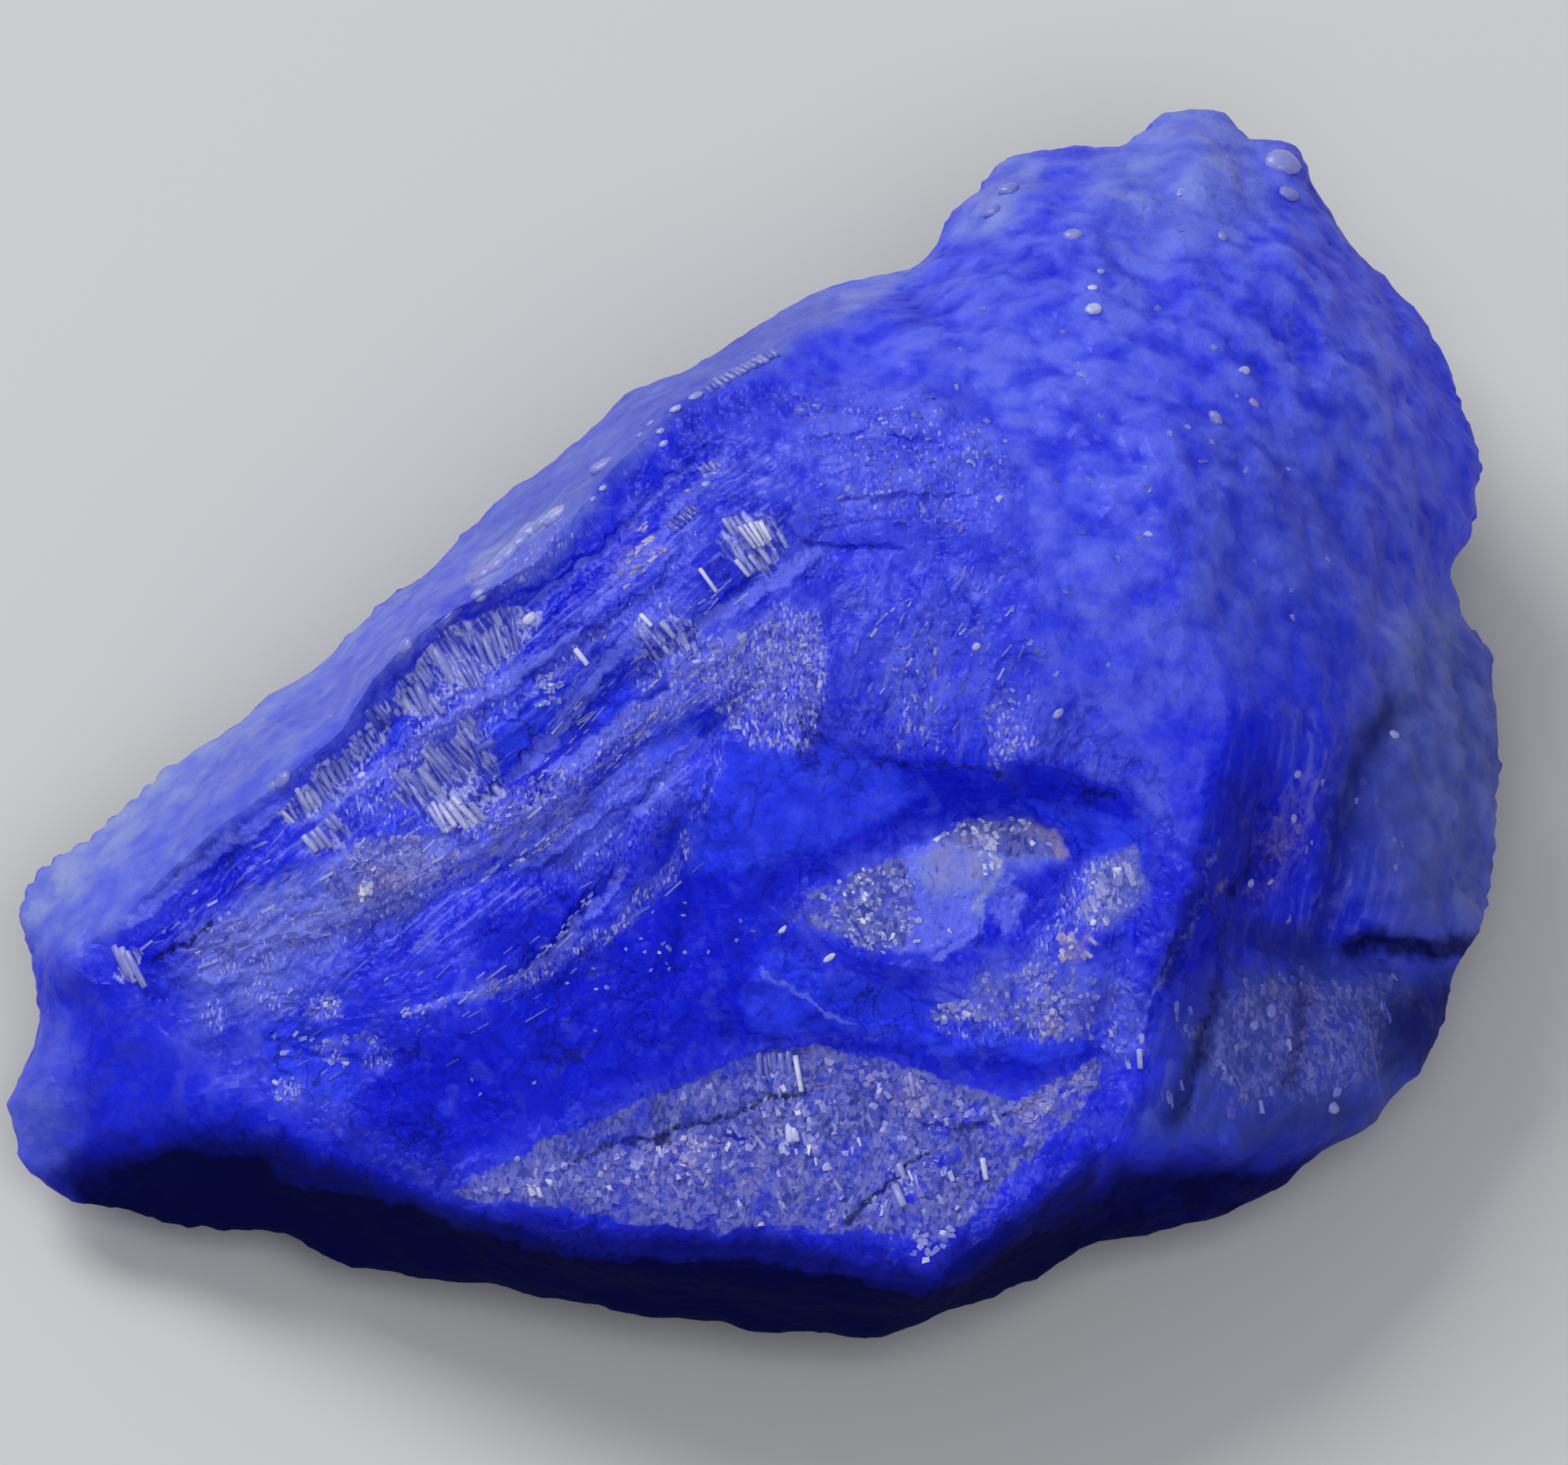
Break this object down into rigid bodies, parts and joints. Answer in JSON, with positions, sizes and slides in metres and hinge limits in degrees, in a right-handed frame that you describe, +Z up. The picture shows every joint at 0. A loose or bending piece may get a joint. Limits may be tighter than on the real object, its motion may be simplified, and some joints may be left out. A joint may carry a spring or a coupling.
{
  "type": "rough blue sapphire",
  "caption": "Uncut blue sapphire fragment: a blunt wedge with stepped fracture faces, flat terraces and a grainy back, lying on a small flat spot.",
  "frame": {"origin": "centre of the stone's bounding box in plan, on the table it lies on", "axes": "+X from the blunt narrow end towards the broad grainy end, as the picture shows it from left to right; +Y away from the picture's viewer; +Z up"},
  "size_m": [0.0474, 0.0448, 0.0176],
  "materials": {
    "corundum": "rough broken crystal, vitreous where it has split along flat faces"
  },
  "bodies": {
    "root": {"sapphire": "corundum"}
  },
  "joints": []
}
